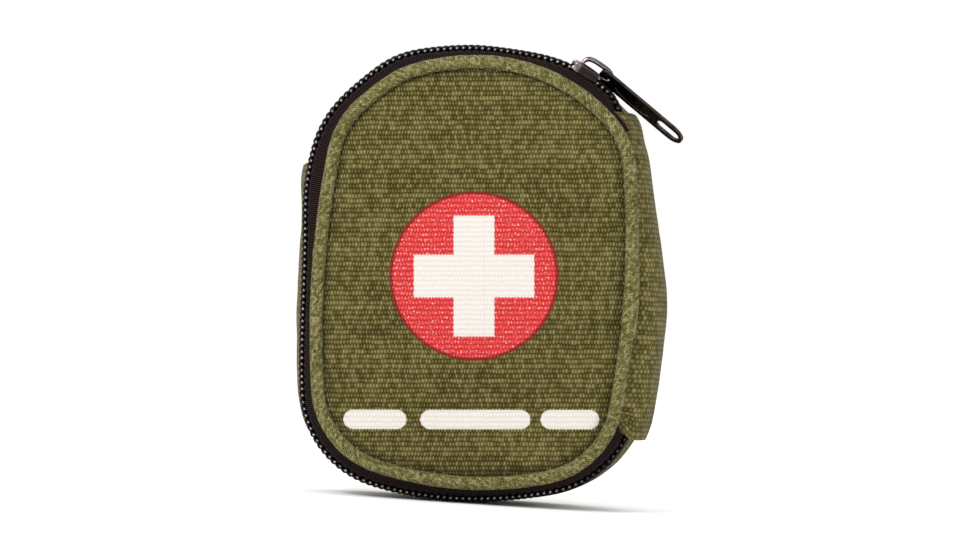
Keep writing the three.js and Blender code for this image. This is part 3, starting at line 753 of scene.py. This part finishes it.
def piping(body, node, y, join, seed):
    """A cord in a bias strip. Where its ends meet, one laps over the other."""
    evenly = np.linspace(0, AROUND, 330, endpoint=False)
    s = np.sort(np.concatenate([evenly, join + np.linspace(-2.2, 2.2, 22)]))
    s2, a2 = s[:, None], circle(18)[None, :]
    lap = smoothstep((s2 - join + 0.25 * np.cos(a2)) / 0.3) * smoothstep((join + 27 - s2) / 22)
    lumps = 0.06 * ripple(s2, a2 * 2.0, 13.0, seed) + 0.06 * ripple(s2, a2, 4.3, seed + 2)
    r = PIPING_RADIUS + lumps + 0.34 * lap
    out, depth = -PIPING_IN + 0.4 * lap + r * np.cos(a2), y + r * np.sin(a2)
    x, z = place(s2, out)
    points = xyz(x, depth, np.maximum(z, 0.0))
    cloth = np.append(s, AROUND), np.linspace(0, 11.0, 19)
    obj = grid(node + "_cord", points, *cloth, piping_cloth, ring_u=True)
    add(obj, body, node, slot="piping")


piping("cover", "front_piping", FRONT + 1, run_at_height(44.5, 0.0), 0.3)
piping("tray", "rear_piping", BACK - 1, 300.0, 1.9)

groove = np.arange(0, AROUND - 1, 3.05)
for name, body, y, up in (
    ("front_panel_stitches", "cover", FRONT + 1.42, -1.0),
    ("back_panel_stitches", "tray", BACK - 1.42, 1.0),
):
    seam_stitches(name, body, groove, -3.75, y, 1.6, 0.15, dark_thread, up)

for end, body, y in (("front", "cover", -18.45), ("rear", "tray", 18.45)):
    section = rounded_box(-4.4, y - 0.8, -2.1, y + 0.8)
    cloth = np.append(lengths(section), 8.0)
    loop = swept(f"{end}_binding_tape", EVERY, section, cloth, binding_cloth, ring=True)
    add(loop, body, f"{end}_binding", slot="binding")

# ---- zip

STRIP_LOW, STRIP_HIGH = 18.4, 99.8
strip_top_run = run_at_height(STRIP_HIGH, 1.5)
zip_start, zip_end = strip_top_run - 5.0, AROUND + run_at_height(STRIP_LOW, 1.5) + 3.0
COIL_PITCH = 1.524


def parted(s):
    """How far each row stands back from the middle of the zip, past the slider's nose."""
    return 1.7 * smoothstep((SLIDER_RUN - 2.0 - s) / 11.0)


def zip_tape(body, node, line, side):
    s = np.linspace(zip_start, zip_end, 300)
    line = rounded(line, 3)
    from_zip = np.abs(line[:, 1] - ZIP_Y)
    share = smoothstep((line[:, 0] + 1.2) / 2.7) * (from_zip < 5.5)
    near = np.clip(1 - (from_zip - 0.5) / 5.5, 0, 1)
    sections = []
    wide = spread(s)
    for i, back_off in enumerate(parted(s)):
        moved = line.copy()
        moved[:, 0] += wide[i] * share
        moved[:, 1] += side * back_off * (near * share)
        moved[:, 0] += 0.07 * ripple(s[i], 0.0, 21.0, side) * share
        section, cloth = strip_section(moved, 0.55)
        sections.append(section)
    obj = swept(node + "_cloth", s, sections, cloth, tape_cloth)
    add(obj, body, node, slot="zip_tape")


front_line = [(-1.6, FRONT + 3.2), (0.1, -18.8), (1.4, -17.2), (1.6, -15.4), (1.5, -12.6)]
zip_tape("cover", "zip_tape_front", front_line, -1)
rear_line = [(1.5, -11.4), (1.5, -8), (1.55, -4.2)]
zip_tape("tray", "zip_tape_rear", rear_line, 1)


def zip_coil(body, node, side):
    """One row of the coil: a flattened spiral, its heads reaching just past the middle."""
    offset = 0.0 if side < 0 else COIL_PITCH / 2
    turns = int((zip_end - zip_start - 4) / COIL_PITCH)
    phase = np.arange(turns * 16) * 2 * np.pi / 16
    turned = phase / (2 * np.pi)
    c, n = np.cos(phase), np.sin(phase)
    count, part = np.divmod(turned, 1.0)
    s = zip_start + 3 + offset + COIL_PITCH * (count + 0.8 * smoothstep(part * 2) + 0.2 * part)
    reach = 1.62 * superellipse(c, 0.55)
    y = ZIP_Y + side * (1.3 - reach + parted(s))
    out = 2.34 + spread(s) + 0.2 * superellipse(n, 0.55)
    x, z = place(s, out)
    radius = WIRE_RADIUS - 0.26 * smoothstep((c - 0.2) / 0.6)
    wire = tube(node + "_row", xyz(x, y, z), radius, 8, coil_nylon, u=turned)
    add(wire, body, node, slot="zip_coil")
    s = np.linspace(zip_start + 2, zip_end - 2, 260)
    x, z = place(s, 2.3 + spread(s))
    path = xyz(x, ZIP_Y + side * (1.6 + parted(s)), z)
    cord = tube(node + "_row_cord", path, 0.5, 8, tape_cloth)
    add(cord, body, slot="zip_tape")


zip_coil("cover", "zip_coil_front", -1)
zip_coil("tray", "zip_coil_rear", 1)

stitch_run = np.arange(zip_start + 8, zip_end - 3, 1.9)
for end, body, side, follow in (("front", "cover", -1, 1.0), ("rear", "tray", 1, 0.8)):
    y = ZIP_Y + side * 3.7 + side * follow * parted(stitch_run)
    out = 1.6 + spread(stitch_run)
    seam_stitches(f"zip_{end}_stitches", body, stitch_run, out, y, 1.45, 0.14, dark_thread)

# ---- side band and fold strip


def band_belly(s):
    """How far the band bulges: most along the two sides, from a shoulder on the left."""
    degrees = np.interp(np.mod(s, AROUND), RUN_S, RUN_A)
    x, z = place(s, 0.0)
    sideways = np.cos(np.radians(degrees)) ** 4
    resting = np.where(z < MIDDLE_Z, 3.6, 2.5)
    shoulder = smoothstep((84.0 - z) / 2.6)
    upper = 2.3 * np.exp(-(((z - 80.0) / 10.0) ** 2)) * shoulder
    left = (5.9 - resting + upper) * shoulder * smoothstep((sideways - 0.1) / 0.6)
    return resting + np.where(x < 0, left, (5.9 - resting) * sideways)


def side_band():
    start, end = strip_top_run - 3.0, AROUND + run_at_height(STRIP_LOW, 3.0) + 2.0
    s = np.linspace(start, end, 340)
    belly, wide = band_belly(s), spread(s) * 0.8
    sections = []
    for i, b in enumerate(belly):
        soft = 0.16 * ripple(s[i], 0.0, 34.0, 0.8)
        hem = [(2.75 + wide[i], -6.9), (2.9 + wide[i], -5.2), (0.4 * 2.9 + 0.6 * b, -1)]
        line = rounded([*hem, (b + soft, 7), (0.78 * b, 14), (0.2, 17.8), (-1.2, 18.8)])
        line[:, 0] += 0.1 * ripple(s[i], line[:, 1], 15.0, 2.0) * smoothstep((line[:, 1] + 6) / 4)
        section, cloth = strip_section(line, 1.3)
        sections.append(section)
    obj = swept("side_band_cloth", s, sections, cloth, strip_cloth, floor=0.0)
    add(obj, "tray", "side_band", slot="canvas")
    edge = np.arange(start + 8, end - 4, 2.7)
    out = 2.95 + 0.8 * spread(edge)
    seam_stitches("side_band_stitches", "tray", edge, out, -5.6, 2.0, 0.2, olive_thread)


side_band()


def looseness(z):
    """The strip hangs loose: it stands out more towards its lower end, and flares a little at the top."""
    return 1.38 - 0.82 * smoothstep((z - 46) / 42) + 0.22 * smoothstep((z - 92) / 7)


def fold_strip():
    """The strip on the right that the cover folds on, hemmed at both ends."""
    over_zip = [(-1.2, -18.9), (1.3, -18.0), (3.4, -16.4), (4.6, -13.5), (5.0, -10)]
    line = rounded([*over_zip, (5.5, -4), (5.2, 5), (3.7, 13), (0.2, 17.9), (-1.2, 18.8)])
    low_hem = STRIP_LOW + np.array([0, 0.25, 0.7, 1.4, 2.4, 3.6, 4.0, 4.4])
    high_hem = STRIP_HIGH - np.array([4.6, 4.1, 3.7, 2.4, 1.3, 0.6, 0.2, 0])
    heights = np.concatenate([low_hem, np.linspace(25.5, 93.5, 60), high_hem])
    points, cloth = [], None
    for z in heights:
        ends = min(z - STRIP_LOW, STRIP_HIGH - z)
        hem = 0.55 * smoothstep((4.2 - ends) / 0.6) - 0.5 * smoothstep((0.8 - ends) / 0.8)
        soft = line.copy()
        soft[:, 0] = np.where(line[:, 0] > 0, line[:, 0] * looseness(z), line[:, 0])
        soft[:, 0] += 0.16 * ripple(z, soft[:, 1], 26.0, 1.1) * smoothstep((soft[:, 0] + 1) / 4)
        section, cloth = strip_section(soft, 1.25 + hem)
        near_piping = (1 - smoothstep(section[:, 0] / 4.5)) * smoothstep((-8 - section[:, 1]) / 3)
        level = z + 3.0 * smoothstep((26 - z) / 7.5) * near_piping
        s = np.array([run_at_height(h, o) for h, o in zip(level, section[:, 0])])
        x, height = place(s, section[:, 0])
        points.append(xyz(x, section[:, 1], height))
    cloth = np.broadcast_arrays(cloth[None, ::-1], heights[:, None])
    obj = grid("fold_strip_cloth", np.array(points)[:, ::-1], *cloth, strip_cloth, caps=True)
    add(obj, None, "fold_strip_front", "fold_strip_rear", slot="canvas")
    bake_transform(obj)


fold_strip()

# ---- slider and pull tab


def at(x, y, z):
    return Matrix.Translation((x * MM, y * MM, z * MM))


def turned(degrees, axis):
    return Matrix.Rotation(math.radians(degrees), 4, axis)


ON_CROWN = at(0, 0, TOP - CROWN) @ turned(SLIDER_DEGREES, "Y")


def plate(outlines, thickness, bevel):
    """A flat plate with rounded edges and holes, in the XY plane: the first outline is its edge."""
    curve = bpy.data.curves.new("plate", "CURVE")
    curve.dimensions, curve.fill_mode = "2D", "BOTH"
    curve.extrude = (thickness / 2 - bevel) * MM
    curve.bevel_depth, curve.bevel_resolution = bevel * MM, 3
    curve.offset = -bevel * MM
    for points in outlines:
        spline = curve.splines.new("POLY")
        spline.points.add(len(points) - 1)
        spline.use_cyclic_u = True
        for point, (x, y) in zip(spline.points, points):
            point.co = (x * MM, y * MM, 0, 1)
    holder = bpy.data.objects.new("plate", curve)
    mesh = bpy.data.meshes.new_from_object(holder)
    bpy.data.objects.remove(holder)
    return mesh


def joined(name, parts, material, matrix):
    """One mesh from several, each with its own place, all put in place by the matrix."""
    points, faces = [], []
    for mesh, local in parts:
        start = len(points)
        points += [tuple(matrix @ local @ v.co) for v in mesh.vertices]
        faces += [[start + i for i in p.vertices] for p in mesh.polygons]
    mesh = bpy.data.meshes.new(name)
    mesh.from_pydata(points, [], faces)
    mesh.shade_smooth()
    mesh.set_sharp_from_angle(angle=math.radians(38))
    return shown(name, mesh, material)


def slider_outline(nose, tail):
    half = 4.4
    points = [(-half, -tail), (-half * 0.2, -tail - 0.05), (half - 1.6, -nose), (half, -nose + 0.9)]
    points.append((half + 0.25, 0))
    points += [(x, -y) for x, y in points[::-1] if y]
    return rounded(points, 3, ring=True)


def slider():
    top, under = CROWN + 3.6, CROWN - 0.35
    upright = turned(90, "X")
    rail = rounded([(-3.4, 0), (3.2, 0), (3.6, 0.9), (3.0, 1.75), (-3.0, 1.75), (-3.7, 0.9)], 2, ring=True)
    hump = rounded([(-4.1, 0), (3.6, 0), (3.6, 0.55), (1.0, 0.85), (-2.6, 0.85), (-4.1, 0.4)], 2, ring=True)
    parts = [
        (plate([slider_outline(4.6, 4.2)], 1.1, 0.42), at(0, ZIP_Y, top + 0.55)),
        (plate([slider_outline(4.2, 3.8)], 1.1, 0.35), at(0, ZIP_Y, under + 0.55)),
        (plate([rounded_box(1.6, -0.3, 3.6, 0.3, 1)], 3.6, 0.05), at(0, ZIP_Y, under + 2.6)),
        (plate([hump], 2.4, 0.4), at(0, ZIP_Y, top + 0.95) @ upright),
    ]
    for side in (-1, 1):
        parts.append((plate([rail], 0.9, 0.25), at(0, ZIP_Y + side * 3.9, CROWN + 2.3) @ upright))
    obj = joined("slider_shell", parts, shell_metal, ON_CROWN)
    add(obj, "slider", "slider_body", slot="slider_metal")


slider()


def bail():
    """The low arch that holds the tab: a flat bar, thicker at its crown, that leans out over the nose."""
    rise = [(-2.0, -0.3), (-2.0, 1.0), (-1.4, 2.2), (0.2, 2.6), (3.0, 2.55), (4.9, 2.35)]
    mid = rounded([*rise, (6.2, 1.4), (5.9, 0.3), (5.2, -0.1), (3.6, -0.1)])
    _, inward = directions(mid)
    a = circle(16)
    thick = 0.4 + 0.24 * smoothstep(mid[:, 1] / 2.4)
    across, through = 0.7 * superellipse(np.cos(a), 0.85), superellipse(np.sin(a), 0.85)
    xz = mid[:, None] - thick[:, None, None] * through[None, :, None] * inward[:, None]
    points = xyz(xz[..., 0], ZIP_Y + across, CROWN + 4.75 + xz[..., 1])
    obj = grid("bail_arch", points, lengths(mid), np.arange(17.0), bail_metal, caps=True)
    obj.data.transform(ON_CROWN)
    add(obj, "slider", "slider_bail", slot="slider_metal")


bail()

TAB_AT = at(4.72, ZIP_Y, CROWN + 5.4)
TAB_LEAN = turned(7.4, "Y") @ turned(-30, "X")


def pull_tab():
    """A flat tab: a thin web inside a thicker rim, with an eye for the bail and a slot at its end."""
    tip, wide, r = 24.8, 2.5, 1.35
    half = [(-1.5, 0), (-1.5, wide * 0.5), (-0.8, wide), (8, wide), (tip - 5, wide)]
    half += [(tip - 2.2, wide * 0.97), (tip - 0.5, wide * 0.55), (tip, 0)]
    edge = rounded(half + [(x, -y) for x, y in half[::-1][1:-1]], ring=True)
    near, far = tip - 7.7 + r, tip - 1.0 - r
    turn = np.linspace(-np.pi / 2, np.pi / 2, 9)
    slot = [(far + r * math.cos(t), r * math.sin(t)) for t in turn]
    slot += [(near - r * math.cos(t), -r * math.sin(t)) for t in turn]
    eye = rounded_box(0.9, -0.6, 1.6, 0.6, 1)
    web_hole = rounded_box(3.6, -1.7, tip - 9.6, 1.7)
    parts = [
        (plate([edge, eye, slot, web_hole], 0.8, 0.26), Matrix.Identity(4)),
        (plate([rounded_box(3.0, -2.1, tip - 9.0, 2.1, 1)], 0.42, 0.05), Matrix.Identity(4)),
    ]
    obj = joined("pull_tab_metal", parts, slider_metal, ON_CROWN @ TAB_AT @ TAB_LEAN)
    add(obj, "pull_tab", "pull_tab", slot="slider_metal")


pull_tab()

# ---- belt loop


def belt_loop():
    lower = [(22.6, 22), (22.6, 29), (24.5, 31.0), (28.0, 35), (28.5, 42)]
    upper = [(y, 2 * MIDDLE_Z - z) for y, z in lower[::-1]]
    line = rounded([*lower, (28.6, MIDDLE_Z), *upper])
    _, n = directions(line)
    a = circle(40)
    x, through = 20.0 * superellipse(np.cos(a), 0.22), 0.7 * superellipse(np.sin(a), 0.35)
    yz = line[:, None] + through[None, :, None] * n[:, None]
    y = yz[..., 0] + 0.06 * ripple(x[None], line[:, 1:], 22.0)
    points = xyz(x, y, yz[..., 1])
    cloth = np.append(np.concatenate([x[:20], x[20:] + 60.0]), x[0])
    obj = grid("belt_loop_webbing", points, lengths(line), cloth, strap_cloth, caps=True)
    add(obj, "tray", "belt_loop", slot="webbing")


belt_loop()


def bar_tack(name, node, z):
    """Short stitches side by side, each leaning a little, right across the webbing."""
    x = np.linspace(-16.5, 16.5, 60)
    lean = np.where(np.arange(60) % 2, 0.35, -0.35)
    along, up = xyz(lean, 0.0, 1.0), xyz(0 * x, 1.0, 0.0)
    stitches = beads(name, xyz(x, 24.05, z), along, up, 3.0, 0.3, dark_thread)
    add(stitches, "tray", node, slot="thread")


bar_tack("bar_tack_low", "belt_loop_tack_low", 25.5)
bar_tack("bar_tack_high", "belt_loop_tack_high", 88.5)

# ---- inside


def inner_pocket():
    heights = np.linspace(9.0, 66.0, 40)
    share = np.linspace(-1, 1, 64)
    half = place(run_at_height(heights, -5.2), -5.2)[0]
    x = share[None, :] * half[:, None]
    z = np.repeat(heights[:, None], 64, axis=1)
    fullness = np.cos(share * np.pi / 2)[None, :] ** 0.5 * smoothstep((heights[:, None] - 9) / 12)
    gather = smoothstep((heights[:, None] - 46) / 14)
    gathers = 0.16 * gather * np.sin(x * 2.1 + 0.4 * np.sin(x))
    y = 12.95 - 0.45 * fullness + gathers + 0.1 * ripple(x, z, 24.0)
    obj = grid("inner_pocket_cloth", xyz(x, y, z), z, x, lining_cloth, ring_v=False)
    add(obj, "tray", "inner_pocket", slot="lining")
    across = np.linspace(-1, 1, 90)
    line = np.stack([across * 36.0, 12.05 + 0.13 * np.sin(across * 60)], -1)
    section = rounded_box(61.1, -0.35, 65.9, 0.35)
    y = line[:, 1:] + section[None, :, 1]
    points = xyz(line[:, :1], y, section[None, :, 0])
    cloth = across * 36.0, np.append(lengths(section), 11.0)
    hem = grid("pocket_hem_elastic", points, *cloth, elastic_cloth, caps=True)
    add(hem, "tray", "pocket_hem", slot="elastic")


inner_pocket()


def elastic_band():
    left = [(-37.6, 8.5), (-34.5, 1.5), (-28.5, -8.0), (-20.5, -8.75), (-10.5, -8.7)]
    line = rounded([*left, (0, -8.85), *((-x, y) for x, y in left[::-1])])
    _, n = directions(line)
    section = rounded_box(30.1, -0.35, 41.9, 0.35)
    xy = line[:, None] + section[None, :, 1:] * n[:, None]
    points = xyz(xy[..., 0], xy[..., 1], section[None, :, 0])
    cloth = lengths(line), np.append(lengths(section), 25.0)
    obj = grid("elastic_band_cloth", points, *cloth, elastic_cloth, caps=True)
    add(obj, "tray", "elastic_band", slot="elastic")


elastic_band()

ROLL_X, ROLL_Y = 20.5, 1.6


def winding(body, node, x, z, height, radius, bore, pitch, material, slot, seed, soft=0.1):
    """A rolled bandage or tape: its layers show as a spiral on both ends, and its last edge as a step."""
    sides = 72
    turns = circle(sides)
    radii = np.linspace(bore, radius, 34)
    step = 0.34 * (1 - turns / (2 * np.pi))
    layer = np.abs(((radii[:, None] / pitch - turns[None] / (2 * np.pi)) % 1) - 0.5) * 2
    depth = 0.3 * pitch * (1 - layer**2)
    profile = []
    for r, dip in zip(radii, depth):
        drop = 0.6 * smoothstep((r - radius + 0.8) / 0.8) + 0.6 * smoothstep((bore + 0.5 - r) / 0.5)
        around = np.full(sides, r) - step * (r / radius) ** 4
        profile.append((around, -drop - dip * min(1, (r - bore) / 0.6)))
    rings = [(r, height + h) for r, h in profile]
    side_r = radius - step + soft * ripple(turns, 0 * turns, 3.1, seed)
    for w in np.linspace(height - 1.6, 1.6, 18):
        rings.append((side_r + 0.08 * soft * np.sin(w * 2 + turns * 3), np.full(sides, w)))
    rings += [(r, -h) for r, h in profile[::-1]]
    cos, sin = np.cos(turns), np.sin(turns)
    points = np.array([xyz(x + r * cos, ROLL_Y + r * sin, z + h) for r, h in rings])
    v = np.linspace(0, 2 * np.pi * radius, sides + 1)
    run = lengths(np.array([[r.mean(), h.mean()] for r, h in rings]))
    hollow = bore > 1.0
    if hollow:
        run = np.append(run, run[-1] + height)
    obj = grid(node + "_winding", points, run, v, material, ring_u=hollow, caps=not hollow)
    add(obj, body, node, slot=slot)


for roll, x, pitch, cloth, seed in (
    ("gauze_roll", -ROLL_X, 0.9, gauze_cloth, 0.4),
    ("crepe_bandage", 0, 1.25, crepe_cloth, 1.4),
):
    winding(roll, roll, x, 12, 48, 9.5, 0.6, pitch, cloth, "gauze", seed)
for i, z in ((1, 12.0), (2, 36.5)):
    node, sizes = f"tape_roll_{i}", (23.5, 9.55, 5.8, 0.45)
    looks = plaster_cloth, "tape_cloth", 2.0 + i, 0.02
    winding("tape_rolls", node, ROLL_X, z, *sizes, *looks)
    profile = rounded_box(4.45, 0.2, 5.5, 23.3)
    r, rise = profile[None, :, 0], profile[None, :, 1]
    turns = circle(48)[:, None]
    ring = xyz(ROLL_X + r * np.cos(turns), ROLL_Y + r * np.sin(turns), z + rise)
    cloth = np.arange(49.0), np.arange(len(profile) + 1.0)
    core = grid(f"tape_core_{i}_spool", ring, *cloth, spool_plastic, ring_u=True)
    add(core, "tape_rolls", f"tape_core_{i}", slot="spool")


def sachet(name, node, width, height, thick, turn, material, seed):
    """A flat sealed packet, fuller in its middle, crimped along its edges."""
    low, high = (np.array(c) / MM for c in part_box(node))
    centre = (low + high) / 2
    a, b = np.meshgrid(np.linspace(-1, 1, 30), np.linspace(-1, 1, 36), indexing="ij")
    from_side, from_end = (1 - np.abs(a)) * width / 2 / 4.5, (1 - np.abs(b)) * height / 2 / 4.5
    rim = np.minimum(smoothstep(from_side), smoothstep(from_end))
    full = thick / 2 * (0.22 + 0.72 * rim)
    bend = 0.05 * ripple(a * width, b * height, 30.0, seed)
    c, s = math.cos(turn), math.sin(turn)
    x, z = a * width / 2 * 0.995, b * height / 2 * 0.995
    face, reverse = (
        xyz(centre[0] + c * x + s * z, centre[1] + y, centre[2] - s * x + c * z)
        for y in (full + bend, -full + bend)
    )
    both = np.concatenate([face, reverse[::-1]], axis=0)
    u = np.concatenate([a[:, 0], a[::-1, 0], a[:1, 0]]) * width / 2
    obj = grid(name, both, u, b[0] * height / 2, material, ring_u=True, ring_v=False)
    bpy.context.view_layer.update()
    add(obj, "tray", node, slot="sachet_paper")


for kind, count, width, height, thick, fan, material in (
    ("gauze_pad", 3, 52, 41, 1.5, 0, pad_paper),
    ("antiseptic_wipe", 3, 24, 40, 1.3, 2, wipe_paper),
    ("adhesive_plaster", 4, 20, 40, 0.9, 2, plaster_paper),
):
    for i in range(count):
        turn = math.radians(fan * (i - (count - 1) / 2))
        names = f"{kind}_pack_{i + 1}", f"{kind}_{i + 1}"
        sachet(*names, width, height, thick, turn, material, i + width)

# ---- stage

bpy.ops.mesh.primitive_plane_add(size=8)
floor = bpy.context.object
floor.name = "floor"
pale = Surface("pale_floor").set(base_color=(1, 1, 1, 1), roughness=0.9, specular_ior_level=0.1)
floor.data.materials.append(pale.material)

scene = bpy.context.scene
scene.view_settings.view_transform = "Standard"
world = bpy.data.worlds.new("studio")
scene.world = world
world.use_nodes = True
background = world.node_tree.nodes["Background"]
background.inputs[0].default_value = (1, 1, 1, 1)
background.inputs[1].default_value = 1.0


def lamp(name, where, size, watts):
    """A square lamp that faces the middle of the pouch. Here lengths are in metres."""
    data = bpy.data.lights.new(name, "AREA")
    data.size, data.energy = size, watts
    obj = placed(name, data)
    obj.location = where
    facing = Vector((0, 0, 0.057)) - Vector(where)
    obj.rotation_euler = facing.to_track_quat("-Z", "Y").to_euler()


lamp("key", (-0.35, -0.75, 0.62), 0.35, 5)
lamp("fill", (0.7, -0.6, 0.25), 0.6, 1.0)
lamp("left", (-0.9, -0.5, 0.25), 0.5, 0.8)
lamp("back", (0.1, 0.6, 0.7), 0.5, 2)
lamp("spark", (-0.45, -0.9, 0.75), 0.06, 1.6)

DISTANCE, VIEW_WIDTH, SENSOR = 1.3, 0.2445, 36
AZIMUTH, TILT = 3.0, 3.7
data = bpy.data.cameras.new("camera")
data.lens = SENSOR * DISTANCE / VIEW_WIDTH
camera = placed("camera", data)
target = Vector((0.0032, FRONT * MM * 0.6, 0.0572))
turn = turned(AZIMUTH, "Z") @ turned(90, "X") @ turned(TILT, "Z")
camera.matrix_world = Matrix.Translation(target) @ turn @ Matrix.Translation((0, 0, DISTANCE))
scene.camera = camera
